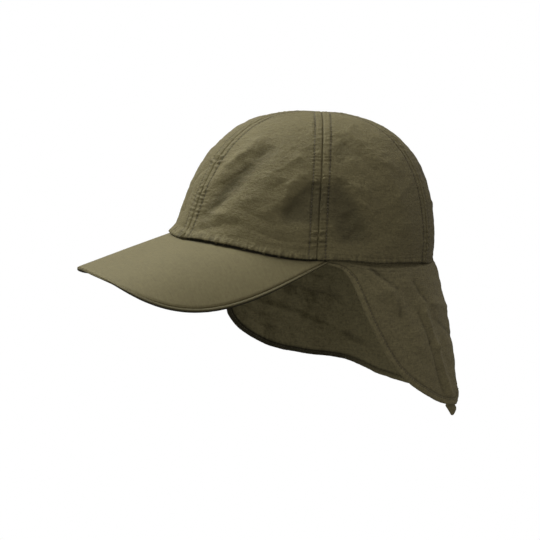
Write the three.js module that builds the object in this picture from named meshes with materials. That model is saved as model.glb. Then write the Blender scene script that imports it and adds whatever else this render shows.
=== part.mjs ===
// A sun cap: six cloth panels, a curved visor with a rolled edge strip, and a flap that hangs over the neck.
// Sizes are in millimetres and angles in degrees. The wearer looks along -Y, the wearer's left is +X and up
// is +Z. The origin is the middle of the head opening. An azimuth is counted from the front, + to the left.

import * as THREE from "three";
import { mergeVertices } from "three/addons/utils/BufferGeometryUtils.js";

// Crown, measured on the outside of the cloth
const HALF_LENGTH = 100;
const HALF_WIDTH = 84;
const EGG = 0.02;
const FRONT_FLARE = 0.07;
const FLARE_HEIGHT = 14;
const CROWN_HEIGHT = 102.3;
const APEX_BACK = 2.9;
const BACK_DIP = 3.7;
const SIDE_SEAM = 63;
const REAR_SEAM = 123;

// How square the crown is in plan and in profile, at its front and at its back
const PLAN_POWER = { front: 0.74, back: 0.88, side: -0.1 };
const RISE_POWER = { front: 1.08, back: 0.76 };

// Visor: a height above the opening for each place in plan, inside a rounded outline
const VISOR_HALF_ANGLE = 67;
const VISOR_BLEND_ANGLE = 25;
const VISOR_REACH = 176.2;
const VISOR_HALF_WIDTH = 80.8;
const VISOR_SQUARENESS = 3.18;
const VISOR_HEIGHT = 10.8;
const VISOR_SLOPE = 0.303;
const VISOR_BOW = 1.33;
const VISOR_ARCH = 25.4;
const VISOR_ARCH_GAIN = 14.2;
const VISOR_ARCH_POWER = 2.94;
const VISOR_THICKNESS = 2.6;
const EDGE_STRIP = 3.0;

// Cloth and clearances
const CROWN_WALL = 1.5;
const FLAP_WALL = 1.2;
const GAP = 0.3;
const SEAT_GAP = 0.5;
const TUCK_GAP = 0.8;
const FLAP_TUCK = 7;
const TUCK_LEAN = 0.7;
const HEM_WIDTH = 4.0;
const HEM_THICKNESS = 2.2;
const HEM_GAP = 0.45;

// Flap, from the visor's right end round the back to its left end. The turn is counted from the middle
// of the back, + to the left. drop is how far the free edge hangs under the crown, out how far it stands
// off.
const FLAP_STATIONS = [
  { turn: -113, drop: 2, out: 0 },
  { turn: -104, drop: 35, out: 8 },
  { turn: -92, drop: 73, out: 13 },
  { turn: -76, drop: 93, out: 9 },
  { turn: -58, drop: 100, out: 11 },
  { turn: -38, drop: 103, out: 14 },
  { turn: -18, drop: 111.5, out: 19 },
  { turn: 0, drop: 113, out: 25 },
  { turn: 18, drop: 105, out: 29 },
  { turn: 28, drop: 102.5, out: 30 },
  { turn: 38, drop: 109, out: 25 },
  { turn: 58, drop: 96.5, out: 13.5 },
  { turn: 76, drop: 75, out: 4.5 },
  { turn: 92, drop: 40.5, out: 2.5 },
  { turn: 104, drop: 8, out: 0 },
  { turn: 113, drop: 2, out: 0 },
];

// How far the flap swells out between the crown and its free edge, for its full drop. The swelling
// starts the sooner below the crown the smaller BELLY_START is.
const FLAP_BELLY = 10.5;
const FULL_DROP = 110;
const BELLY_START = 0.4;

// Soft folds of the flap: each runs from a turn at the crown to a turn at the free edge
const FLAP_FOLDS = [
  { top: 96, edge: 50, from: 0.05, to: 0.8, depth: 3.0, width: 8 },
  { top: 74, edge: 70, from: 0.2, to: 0.7, depth: -2.5, width: 7 },
  { top: 30, edge: 38, from: 0.3, to: 1.4, depth: 4.0, width: 9 },
  { top: 8, edge: 4, from: 0.1, to: 1.2, depth: 2.5, width: 12 },
  { top: -30, edge: -36, from: 0.3, to: 1.4, depth: 3.0, width: 10 },
  { top: -60, edge: -58, from: 0.3, to: 1.1, depth: -2.5, width: 9 },
  { top: -84, edge: -74, from: 0.1, to: 1.0, depth: 2.5, width: 8 },
];

// Folds of the crown: each runs from one azimuth and lift to another. Lift is 0 at the edge and 90 at the
// top.
const CROWN_FOLDS = [
  { fromAzimuth: 23, fromLift: 48, toAzimuth: 5, toLift: 25, depth: 1.7, width: 6 },
  { fromAzimuth: 33, fromLift: 45, toAzimuth: 10, toLift: 13, depth: -2.2, width: 7 },
  { fromAzimuth: 9, fromLift: 6, toAzimuth: 27, toLift: 10, depth: -1.2, width: 4 },
  { fromAzimuth: 54, fromLift: 33, toAzimuth: 41, toLift: 18, depth: 1.2, width: 6 },
  { fromAzimuth: 60, fromLift: 29, toAzimuth: 48, toLift: 16, depth: -2.2, width: 7 },
  { fromAzimuth: 49, fromLift: 15, toAzimuth: 60, toLift: 10, depth: 0.9, width: 5 },
  { fromAzimuth: 24, fromLift: 13, toAzimuth: 42, toLift: 30, depth: 1.0, width: 9 },
  { fromAzimuth: 72, fromLift: 29, toAzimuth: 77, toLift: 13, depth: -2.0, width: 8 },
  { fromAzimuth: 79, fromLift: 27, toAzimuth: 84, toLift: 13, depth: 1.0, width: 5 },
  { fromAzimuth: 70, fromLift: 43, toAzimuth: 77, toLift: 49, depth: -1.0, width: 7 },
  { fromAzimuth: 96, fromLift: 40, toAzimuth: 104, toLift: 14, depth: 1.4, width: 12 },
  { fromAzimuth: 140, fromLift: 34, toAzimuth: 150, toLift: 10, depth: -1.6, width: 10 },
  { fromAzimuth: -52, fromLift: 78, toAzimuth: -36, toLift: 54, depth: -1.4, width: 18 },
  { fromAzimuth: -24, fromLift: 42, toAzimuth: -14, toLift: 14, depth: -1.4, width: 8 },
  { fromAzimuth: -48, fromLift: 28, toAzimuth: -55, toLift: 12, depth: -1.8, width: 10 },
  { fromAzimuth: -80, fromLift: 34, toAzimuth: -90, toLift: 12, depth: -1.6, width: 11 },
  { fromAzimuth: -150, fromLift: 36, toAzimuth: -142, toLift: 12, depth: 1.4, width: 11 },
];
const PANEL_PUFF = 0.7;

// Below this lift the panels run true to the edge, with no folds
const EDGE_LIFT = 8;

// Tab on the flap's lower left corner. TAB_SEAT is how far its square upper end lies from the hem's edge.
const TAB_TURN = 40;
const TAB_WIDTH = 6.6;
const TAB_LENGTH = 10;
const TAB_THICKNESS = 2.4;
const TAB_LEAN = 45;
const TAB_FACING_TURN = 70;
const TAB_SEAT = 1.2;

// Steps of the meshes
const PANEL_COLUMNS = 10;
const PANEL_ROWS = 12;
const VISOR_COLUMNS = 32;
const VISOR_ROWS = 6;
const FLAP_COLUMNS = 56;
const FLAP_ROWS = 9;
const EDGE_STEPS = 44;

const RADIANS = Math.PI / 180;
const mix = (a, b, t) => a + (b - a) * t;
const clamp = (x, low, high) => Math.min(Math.max(x, low), high);
const smooth = (t) => t * t * (3 - 2 * t);
const wrap = (angle) => ((((angle + 180) % 360) + 360) % 360) - 180;
const vec = (x, y, z) => new THREE.Vector3(x, y, z);

const materials = {
  panel: new THREE.MeshStandardMaterial({ color: 0x7b7558, roughness: 0.82, metalness: 0 }),
  visor: new THREE.MeshStandardMaterial({ color: 0x827c5f, roughness: 0.8, metalness: 0 }),
  flap: new THREE.MeshStandardMaterial({ color: 0x6d664b, roughness: 0.85, metalness: 0 }),
};

// Height of the visor's upper face at x, for a place that lies forward of the origin
function visorHeight(x, forward) {
  const past = forward - HALF_LENGTH;
  const reach = clamp((forward - 40) / 100, 0, 2);
  const arch = (VISOR_ARCH + VISOR_ARCH_GAIN * reach) * Math.abs(x / 80) ** VISOR_ARCH_POWER;
  return VISOR_HEIGHT - VISOR_SLOPE * past - VISOR_BOW * (past / 80) ** 2 - arch;
}

// The crown's lower edge, on the outside of the cloth
function baseEdge(azimuth) {
  const angle = azimuth * RADIANS;
  const front = ((1 + Math.cos(angle)) / 2) ** 2;
  const kick = 1 + FRONT_FLARE * front;
  const x = HALF_WIDTH * Math.sin(angle) * (1 - EGG * Math.cos(angle)) * kick;
  const y = -HALF_LENGTH * Math.cos(angle) * kick;
  return vec(x, y, edgeHeight(azimuth, x, y));
}

// Height of the crown's lower edge: on the visor at the front, and dipping a little to the back
function edgeHeight(azimuth, x, y) {
  const past = clamp((Math.abs(azimuth) - VISOR_HALF_ANGLE) / VISOR_BLEND_ANGLE, 0, 1);
  const behind = -BACK_DIP * ((1 - Math.cos(azimuth * RADIANS)) / 2) ** 2;
  return mix(visorHeight(x, -y), behind, smooth(past));
}

// Level direction that points out of the opening
function outward(azimuth) {
  const angle = azimuth * RADIANS;
  return vec(Math.sin(angle) / HALF_WIDTH, -Math.cos(angle) / HALF_LENGTH, 0).normalize();
}

// The crown's smooth outside
function crownPoint(azimuth, lift) {
  const base = baseEdge(azimuth);
  const cosine = Math.cos(azimuth * RADIANS);
  const front = (1 + cosine) / 2;
  const planPower =
    mix(PLAN_POWER.back, PLAN_POWER.front, front) + PLAN_POWER.side * (1 - cosine * cosine);
  const risePower = mix(RISE_POWER.back, RISE_POWER.front, front);
  const inward = Math.max(Math.cos(lift * RADIANS), 0) ** planPower;
  const rise = (CROWN_HEIGHT - base.z) * Math.sin(lift * RADIANS) ** risePower;
  const flare = FRONT_FLARE * front * front;
  const scale = (inward * (1 + flare * Math.exp(-rise / FLARE_HEIGHT))) / (1 + flare);
  return vec(base.x * scale, mix(APEX_BACK, base.y, scale), base.z + rise);
}

function crownNormal(azimuth, lift) {
  const step = 0.5;
  const low = clamp(lift, step, 90 - 2 * step);
  const across = crownPoint(azimuth + step, low).sub(crownPoint(azimuth - step, low));
  const along = crownPoint(azimuth, low + step).sub(crownPoint(azimuth, low - step));
  const normal = across.cross(along);
  normal.z *= smooth(clamp(lift / EDGE_LIFT, 0, 1));
  return normal.normalize();
}

// How far a fold lifts the crown at a place, with the surface laid out flat around the fold
function foldLift(fold, azimuth, lift) {
  const perDegree = HALF_LENGTH * RADIANS;
  const shrink = Math.cos(lift * RADIANS) ** 0.8;
  const x = wrap(azimuth - fold.fromAzimuth) * perDegree * shrink;
  const y = (lift - fold.fromLift) * perDegree;
  const runX = (fold.toAzimuth - fold.fromAzimuth) * perDegree * shrink;
  const runY = (fold.toLift - fold.fromLift) * perDegree;
  const along = clamp((x * runX + y * runY) / (runX * runX + runY * runY), 0, 1);
  const away = Math.hypot(x - along * runX, y - along * runY);
  return fold.depth * Math.exp(-((away / fold.width) ** 2));
}

function crownRelief(azimuth, lift, across) {
  const puff = PANEL_PUFF * 4 * across * (1 - across) * Math.sin(2 * lift * RADIANS);
  const seam = smooth(clamp(4 * Math.min(across, 1 - across), 0, 1));
  const edge = smooth(clamp(lift / EDGE_LIFT, 0, 1));
  const folds = CROWN_FOLDS.reduce((sum, fold) => sum + foldLift(fold, azimuth, lift), 0);
  return puff + folds * seam * edge;
}

// A closed body from two grids of points, one outside and one inside, sewn together round their four sides
function sheetGeometry(outside, inside) {
  const rows = outside.length;
  const columns = outside[0].length;
  const points = [...outside.flat(), ...inside.flat()];
  const layer = rows * columns;
  const at = (side, row, column) => side * layer + row * columns + column;
  const faces = [];
  const quad = (a, b, c, d) => faces.push([a, b, c], [a, c, d]);
  for (let r = 0; r < rows - 1; r++) {
    for (let c = 0; c < columns - 1; c++) {
      quad(at(0, r, c), at(0, r, c + 1), at(0, r + 1, c + 1), at(0, r + 1, c));
      quad(at(1, r, c), at(1, r + 1, c), at(1, r + 1, c + 1), at(1, r, c + 1));
    }
    const last = columns - 1;
    quad(at(0, r, 0), at(0, r + 1, 0), at(1, r + 1, 0), at(1, r, 0));
    quad(at(0, r, last), at(1, r, last), at(1, r + 1, last), at(0, r + 1, last));
  }
  for (let c = 0; c < columns - 1; c++) {
    const top = rows - 1;
    quad(at(0, 0, c), at(1, 0, c), at(1, 0, c + 1), at(0, 0, c + 1));
    quad(at(0, top, c), at(0, top, c + 1), at(1, top, c + 1), at(1, top, c));
  }
  return closedGeometry(points, faces);
}

// Merges points that meet and drops the faces that this leaves flat
function closedGeometry(points, faces) {
  const geometry = new THREE.BufferGeometry().setFromPoints(points);
  geometry.setIndex(faces.flat());
  const merged = mergeVertices(geometry, 1e-3);
  const index = Array.from(merged.index.array);
  const kept = [];
  for (let i = 0; i < index.length; i += 3) {
    const [a, b, c] = index.slice(i, i + 3);
    if (a !== b && b !== c && c !== a) kept.push(a, b, c);
  }
  merged.setIndex(kept);
  merged.computeVertexNormals();
  return merged;
}

// A closed strip that follows a path, with a rounded section laid along two directions at each step
function stripGeometry(path) {
  const corners = [0, 60, 120, 180, 240, 300].map((angle) => (angle + 30) * RADIANS);
  const points = [];
  const faces = [];
  path.forEach(({ centre, wide, thick, width, height }) => {
    corners.forEach((angle) => {
      const point = centre.clone();
      point.addScaledVector(wide, (Math.cos(angle) * width) / 2 / Math.cos(30 * RADIANS));
      point.addScaledVector(thick, (Math.sin(angle) * height) / 2);
      points.push(point);
    });
  });
  const sides = corners.length;
  for (let i = 0; i < path.length - 1; i++) {
    for (let k = 0; k < sides; k++) {
      const a = i * sides + k;
      const b = i * sides + ((k + 1) % sides);
      faces.push([a, b, b + sides], [a, b + sides, a + sides]);
    }
  }
  const end = (path.length - 1) * sides;
  for (let k = 1; k < sides - 1; k++) {
    faces.push([0, k + 1, k], [end, end + k, end + k + 1]);
  }
  return closedGeometry(points, faces);
}

function mesh(name, geometry, material) {
  const made = new THREE.Mesh(geometry, material);
  made.name = name;
  return made;
}

// One panel of the crown between two seams, which come to a point at the top
function panelGeometry(fromSeam, toSeam) {
  const grid = (depth) => {
    const rows = [];
    for (let r = 0; r <= PANEL_ROWS; r++) {
      const lift = (90 * r) / PANEL_ROWS;
      const row = [];
      for (let c = 0; c <= PANEL_COLUMNS; c++) {
        row.push(panelPoint(fromSeam, toSeam, c / PANEL_COLUMNS, lift, depth));
      }
      rows.push(row);
    }
    return rows;
  };
  return sheetGeometry(grid(0), grid(CROWN_WALL));
}

function panelPoint(fromSeam, toSeam, across, lift, depth) {
  const middle = outward((fromSeam + toSeam) / 2);
  if (lift > 89.9) {
    const tip = crownPoint(0, 90).addScaledVector(middle, GAP / 2 / Math.sin(28 * RADIANS));
    return tip.setZ(tip.z - depth);
  }
  const azimuth = mix(fromSeam, toSeam, across);
  const point = crownPoint(azimuth, lift);
  point.addScaledVector(crownNormal(azimuth, lift), crownRelief(azimuth, lift, across) - depth);
  const edge = across < 0.5 ? fromSeam : toSeam;
  const share = clamp(2 * Math.abs(across - 0.5), 0, 1) ** 8;
  const towardsMiddle = seamSide(edge, across < 0.5 ? 1 : -1);
  point.addScaledVector(towardsMiddle, (GAP / 2) * share);
  if (lift === 0) point.z = edgeHeight(azimuth, point.x, point.y);
  point.z += SEAT_GAP;
  return point;
}

// Level direction square to the upright plane of a seam, to the left (+1) or to the right (-1) of it
function seamSide(azimuth, sign) {
  const base = baseEdge(azimuth);
  const along = vec(base.x, base.y - APEX_BACK, 0).normalize();
  return vec(-along.y, along.x, 0).multiplyScalar(sign);
}

// The visor's free outline in plan, for a share from -1 (right end) to 1 (left end)
function visorOutline(share) {
  const end = -baseEdge(VISOR_HALF_ANGLE).y;
  const angle = share * 90 * RADIANS;
  const sine = Math.abs(Math.sin(angle));
  const cosine = Math.max(Math.cos(angle), 0);
  const radius = (sine ** VISOR_SQUARENESS + cosine ** VISOR_SQUARENESS) ** (-1 / VISOR_SQUARENESS);
  const x = VISOR_HALF_WIDTH * Math.sign(share) * sine * radius;
  return { x, forward: mix(end, VISOR_REACH, cosine * radius) };
}

// A point of the visor's upper face: inside 0 lies under the crown's edge, 1 on the free outline
function visorPoint(share, inside, inset) {
  const azimuth = share * VISOR_HALF_ANGLE;
  const tuck = CROWN_WALL + 1;
  const root = baseEdge(azimuth).addScaledVector(outward(azimuth), -tuck);
  const rim = visorOutline(share);
  const outer = vec(rim.x, -rim.forward, 0).addScaledVector(outlineNormal(share), -inset);
  const x = mix(root.x, outer.x, inside);
  const y = mix(root.y, outer.y, inside);
  return vec(x, y, visorHeight(x, -y));
}

// Level direction that points out of the visor's outline
function outlineNormal(share) {
  const step = 0.01;
  const before = visorOutline(clamp(share - step, -1, 1));
  const after = visorOutline(clamp(share + step, -1, 1));
  return vec(after.forward - before.forward, after.x - before.x, 0).multiplyScalar(-1).normalize();
}

function visorGeometry() {
  const grid = (depth) => {
    const rows = [];
    for (let r = 0; r <= VISOR_ROWS; r++) {
      const row = [];
      for (let c = 0; c <= VISOR_COLUMNS; c++) {
        const point = visorPoint((2 * c) / VISOR_COLUMNS - 1, r / VISOR_ROWS, EDGE_STRIP + GAP);
        point.z -= depth;
        row.push(point);
      }
      rows.push(row);
    }
    return rows;
  };
  return sheetGeometry(grid(VISOR_THICKNESS), grid(0));
}

function visorEdgeGeometry() {
  const path = [];
  for (let i = 0; i <= EDGE_STEPS; i++) {
    const share = (2 * i) / EDGE_STEPS - 1;
    const wide = outlineNormal(share);
    const centre = visorPoint(share, 1, EDGE_STRIP / 2);
    centre.z -= VISOR_THICKNESS / 2;
    path.push({ centre, wide, thick: vec(0, 0, -1), width: EDGE_STRIP, height: VISOR_THICKNESS + 0.6 });
  }
  return stripGeometry(path);
}

// A value of the flap's table at a turn, on a smooth curve through its rows
function flapValue(column, turn) {
  const last = FLAP_STATIONS.length - 1;
  let i = 0;
  while (i < last - 1 && FLAP_STATIONS[i + 1].turn < turn) i++;
  const slope = (k) => {
    const before = FLAP_STATIONS[Math.max(k - 1, 0)];
    const after = FLAP_STATIONS[Math.min(k + 1, last)];
    return (after[column] - before[column]) / (after.turn - before.turn);
  };
  const left = FLAP_STATIONS[i];
  const right = FLAP_STATIONS[i + 1];
  const span = right.turn - left.turn;
  const t = clamp((turn - left.turn) / span, 0, 1);
  const swell = t * (1 - t) * span;
  return (
    mix(left[column], right[column], smooth(t)) + swell * (slope(i) * (1 - t) - slope(i + 1) * t)
  );
}

function flapAzimuth(turn) {
  return turn < 0 ? -180 - turn : 180 - turn;
}

// Where the flap leaves the crown's lower edge, on the flap's outside
function flapTop(turn) {
  const azimuth = flapAzimuth(turn);
  const inset = CROWN_WALL + TUCK_GAP;
  return baseEdge(azimuth).addScaledVector(outward(azimuth), -inset);
}

// The flap's free outline with its hem
function flapOutline(turn) {
  const point = flapTop(turn).addScaledVector(outward(flapAzimuth(turn)), flapValue("out", turn));
  point.z -= flapValue("drop", turn);
  return point;
}

// Direction in the cloth that points out over the free edge, and the hem's width there
function flapEdge(turn) {
  const step = 1;
  const limit = FLAP_STATIONS.at(-1).turn;
  const before = flapOutline(clamp(turn - step, -limit, limit));
  const after = flapOutline(clamp(turn + step, -limit, limit));
  const along = after.sub(before).normalize();
  const down = flapOutline(turn).sub(flapTop(turn)).normalize();
  const out = down.addScaledVector(along, -down.dot(along)).normalize();
  const taper = clamp(flapValue("drop", turn) / 12, 0.25, 1);
  return { along, out, width: HEM_WIDTH * taper };
}

function flapFold(turn, fall) {
  return FLAP_FOLDS.reduce((sum, fold) => {
    const run = clamp((fall - fold.from) / (fold.to - fold.from), 0, 1);
    const away = (turn - mix(fold.top, fold.edge, fall)) / fold.width;
    return sum + fold.depth * Math.sin(Math.PI * run) * Math.exp(-away * away);
  }, 0);
}

// A point of the flap's outside: fall 0 at the crown's edge and 1 at the cloth's own lower edge
function flapPoint(turn, fall) {
  const top = flapTop(turn);
  if (fall < 0) {
    top.z += FLAP_TUCK;
    return top.addScaledVector(outward(flapAzimuth(turn)), -TUCK_LEAN);
  }
  const edge = flapEdge(turn);
  const low = flapOutline(turn).addScaledVector(edge.out, -(edge.width + HEM_GAP));
  const point = top.lerp(low, fall);
  const share = Math.min(flapValue("drop", turn) / FULL_DROP, 1);
  const belly = FLAP_BELLY * share * fall ** BELLY_START * (1 - fall);
  return point.addScaledVector(outward(flapAzimuth(turn)), belly + flapFold(turn, fall));
}

function flapGeometry() {
  const limit = FLAP_STATIONS.at(-1).turn;
  const falls = [-1];
  for (let r = 0; r <= FLAP_ROWS; r++) falls.push(r / FLAP_ROWS);
  const grid = (depth) =>
    falls.map((fall) => {
      const row = [];
      for (let c = 0; c <= FLAP_COLUMNS; c++) {
        const turn = mix(-limit, limit, c / FLAP_COLUMNS);
        row.push(flapPoint(turn, fall).addScaledVector(outward(flapAzimuth(turn)), -depth));
      }
      return row;
    });
  return sheetGeometry(grid(0), grid(FLAP_WALL));
}

function hemPath() {
  const limit = FLAP_STATIONS.at(-1).turn;
  const path = [];
  for (let i = 0; i <= FLAP_COLUMNS; i++) {
    const turn = mix(-limit, limit, i / FLAP_COLUMNS);
    const edge = flapEdge(turn);
    const facing = outward(flapAzimuth(turn));
    const thick = facing.addScaledVector(edge.out, -facing.dot(edge.out)).normalize();
    const centre = flapPoint(turn, 1).addScaledVector(edge.out, HEM_GAP + edge.width / 2);
    centre.addScaledVector(thick, -FLAP_WALL / 2);
    path.push({ centre, wide: edge.out, thick, width: edge.width, height: HEM_THICKNESS });
  }
  return path;
}

// The tab hangs from the hem by its upper end and leans back
function tabGeometry() {
  const half = TAB_WIDTH / 2;
  const outline = new THREE.Shape();
  outline.moveTo(-half, 0);
  outline.lineTo(half, 0);
  outline.lineTo(half, -(TAB_LENGTH - half));
  outline.absarc(0, -(TAB_LENGTH - half), half, 0, -Math.PI, true);
  outline.lineTo(-half, 0);
  const geometry = new THREE.ExtrudeGeometry(outline, {
    depth: TAB_THICKNESS,
    bevelEnabled: false,
    curveSegments: 6,
  });
  geometry.translate(0, 0, -TAB_THICKNESS / 2);
  return geometry;
}

const cap = new THREE.Group();
cap.name = "sun_cap";

const PANELS = [
  { name: "crown_front_left", from: 0, to: SIDE_SEAM },
  { name: "crown_side_left", from: SIDE_SEAM, to: REAR_SEAM },
  { name: "crown_back_left", from: REAR_SEAM, to: 180 },
  { name: "crown_back_right", from: -180, to: -REAR_SEAM },
  { name: "crown_side_right", from: -REAR_SEAM, to: -SIDE_SEAM },
  { name: "crown_front_right", from: -SIDE_SEAM, to: 0 },
];
for (const { name, from, to } of PANELS) {
  cap.add(mesh(name, panelGeometry(from, to), materials.panel));
}

cap.add(mesh("visor", visorGeometry(), materials.visor));
cap.add(mesh("visor_edge", visorEdgeGeometry(), materials.visor));
cap.add(mesh("neck_flap", flapGeometry(), materials.flap));
cap.add(mesh("flap_hem", stripGeometry(hemPath()), materials.flap));

// The tab lies in the plane of the flap's left side and leans towards the back
const tab = mesh("flap_tab", tabGeometry(), materials.flap);
const corner = flapOutline(TAB_TURN);
const facing = outward(flapAzimuth(TAB_FACING_TURN));
const lean = TAB_LEAN * RADIANS;
const back = vec(-facing.y, facing.x, 0);
const hang = vec(0, 0, -Math.cos(lean)).addScaledVector(back, Math.sin(lean));
const side = new THREE.Vector3().crossVectors(hang, facing).negate();
tab.applyMatrix4(new THREE.Matrix4().makeBasis(side, hang.clone().negate(), facing));
tab.position.copy(corner).addScaledVector(hang, (TAB_WIDTH / 2) * Math.tan(lean) + TAB_SEAT);
cap.add(tab);

export default cap;
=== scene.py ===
import math
from types import SimpleNamespace

import bpy
import numpy as np
from mathutils import Matrix, Vector


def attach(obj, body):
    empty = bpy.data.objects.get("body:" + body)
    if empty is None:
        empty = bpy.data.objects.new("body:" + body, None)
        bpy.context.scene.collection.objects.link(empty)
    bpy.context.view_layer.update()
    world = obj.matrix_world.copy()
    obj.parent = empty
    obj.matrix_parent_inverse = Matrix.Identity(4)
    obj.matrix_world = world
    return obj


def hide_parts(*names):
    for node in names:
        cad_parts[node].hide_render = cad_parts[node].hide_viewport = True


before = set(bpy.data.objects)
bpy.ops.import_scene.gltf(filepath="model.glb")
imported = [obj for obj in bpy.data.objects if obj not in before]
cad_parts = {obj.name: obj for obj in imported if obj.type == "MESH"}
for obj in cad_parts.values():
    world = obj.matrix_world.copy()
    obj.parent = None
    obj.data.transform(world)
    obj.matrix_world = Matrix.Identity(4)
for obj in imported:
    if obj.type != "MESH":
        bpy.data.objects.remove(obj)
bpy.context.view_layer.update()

MM = 0.001


def table(columns, *rows):
    """Rows of values, with a name for each column."""
    return [dict(zip(columns.split(), row)) for row in rows]


# Crown, in millimetres and degrees as in the solids
HALF_LENGTH = 100
HALF_WIDTH = 84
EGG = 0.02
FRONT_FLARE = 0.07
FLARE_HEIGHT = 14
CROWN_HEIGHT = 102.3
APEX_BACK = 2.9
BACK_DIP = 3.7
SIDE_SEAM = 63
REAR_SEAM = 123
PLAN_POWER = {"front": 0.74, "back": 0.88, "side": -0.1}
RISE_POWER = {"front": 1.08, "back": 0.76}
CROWN_FOLDS = table(
    "from to depth width",
    ((23, 48), (5, 25), 1.7, 6),
    ((33, 45), (10, 13), -2.2, 7),
    ((9, 6), (27, 10), -1.2, 4),
    ((54, 33), (41, 18), 1.2, 6),
    ((60, 29), (48, 16), -2.2, 7),
    ((49, 15), (60, 10), 0.9, 5),
    ((24, 13), (42, 30), 1.0, 9),
    ((72, 29), (77, 13), -2.0, 8),
    ((79, 27), (84, 13), 1.0, 5),
    ((70, 43), (77, 49), -1.0, 7),
    ((96, 40), (104, 14), 1.4, 12),
    ((140, 34), (150, 10), -1.6, 10),
    ((-52, 78), (-36, 54), -1.4, 18),
    ((-24, 42), (-14, 14), -1.4, 8),
    ((-48, 28), (-55, 12), -1.8, 10),
    ((-80, 34), (-90, 12), -1.6, 11),
    ((-150, 36), (-142, 12), 1.4, 11),
)
PANEL_PUFF = 0.7
EDGE_LIFT = 8
SEAT_GAP = 0.5

# Visor
VISOR_HALF_ANGLE = 67
VISOR_BLEND_ANGLE = 25
VISOR_REACH = 176.2
VISOR_HALF_WIDTH = 80.8
VISOR_SQUARENESS = 3.18
VISOR_HEIGHT = 10.8
VISOR_SLOPE = 0.303
VISOR_BOW = 1.33
VISOR_ARCH = 25.4
VISOR_ARCH_GAIN = 14.2
VISOR_ARCH_POWER = 2.94
VISOR_THICKNESS = 2.6
EDGE_STRIP = 3.0
# The far front corner is pulled in and held up a little, at these shares of the outline
FAR_PULL = 2.6
FAR_PULL_AT = -0.3
FAR_LIFT = 2.6
FAR_LIFT_AT = -0.6
FAR_SPREAD = 0.22

# Neck flap
CROWN_WALL = 1.5
TUCK_GAP = 0.8
FLAP_TUCK = 7
TUCK_LEAN = 0.7
HEM_WIDTH = 4.0
HEM_GAP = 0.45
FLAP_BELLY = 10.5
FULL_DROP = 110
BELLY_START = 0.4
FLAP_LIMIT = 113
FLAP_STATIONS = table(
    "turn drop out",
    (-113, 2, 0),
    (-104, 35, 8),
    (-92, 73, 13),
    (-76, 93, 9),
    (-58, 100, 11),
    (-38, 103, 14),
    (-18, 111.5, 19),
    (0, 113, 25),
    (18, 105, 29),
    (28, 102.5, 30),
    (38, 109, 25),
    (58, 96.5, 13.5),
    (76, 75, 4.5),
    (92, 40.5, 2.5),
    (104, 8, 0),
    (113, 2, 0),
)
FLAP_FOLDS = table(
    "top edge from to depth width",
    (96, 50, 0.05, 0.8, 3.0, 8),
    (74, 70, 0.2, 0.7, -2.5, 7),
    (30, 38, 0.3, 1.4, 4.0, 9),
    (8, 4, 0.1, 1.2, 2.5, 12),
    (-30, -36, 0.3, 1.4, 3.0, 10),
    (-60, -58, 0.3, 1.1, -2.5, 9),
    (-84, -74, 0.1, 1.0, 2.5, 8),
)

# Smaller folds of the flap, each from one turn and fall to another, with depth and width in millimetres
FLAP_CREASES = table(
    "from to depth width",
    ((62, 0.38), (53, 0.62), 1.6, 3.2),
    ((53, 0.62), (43, 0.96), 1.9, 3),
    ((66, 0.4), (58, 0.63), -0.8, 2.2),
    ((58, 0.63), (47, 0.97), -0.8, 2.2),
    ((94, 0.04), (81, 0.24), -1.5, 4),
    ((80, 0.36), (78, 0.52), -0.7, 4),
    ((70, 0.14), (60, 0.3), -1.0, 3),
    ((62, 0.3), (24, 0.38), 1.2, 5),
    ((48, 0.44), (30, 0.6), -1.0, 4),
    ((90, 0.44), (76, 0.14), 0.9, 6),
    ((-85, 0.68), (-60, 0.72), -1.4, 4),
    ((-60, 0.72), (-44, 0.78), -1.2, 4),
    ((-80, 0.44), (-41, 0.5), 1.2, 5),
    ((-50, 0.73), (-25, 0.86), 1.3, 4),
    ((-96, 0.3), (-70, 0.26), -1.1, 5),
)

# Cloth of the pieces that show
# Half the thickness of the crown's wall, and the radius of its rounded lower edge
WALL_RADIUS = 0.825
FLAP_CLOTH = 0.8
SEAM_ROW = 5.7
STITCH_PITCH = 2.5
STITCH_LENGTH = 1.75
STITCH_RISE = 0.1
THREAD = 0.24
THREAD_SIDES = 6
WEAVE_PITCH = 0.62
# How far creases and noise run along the cloth for one degree round the cap
RUN_PER_DEGREE = 1.6

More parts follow.
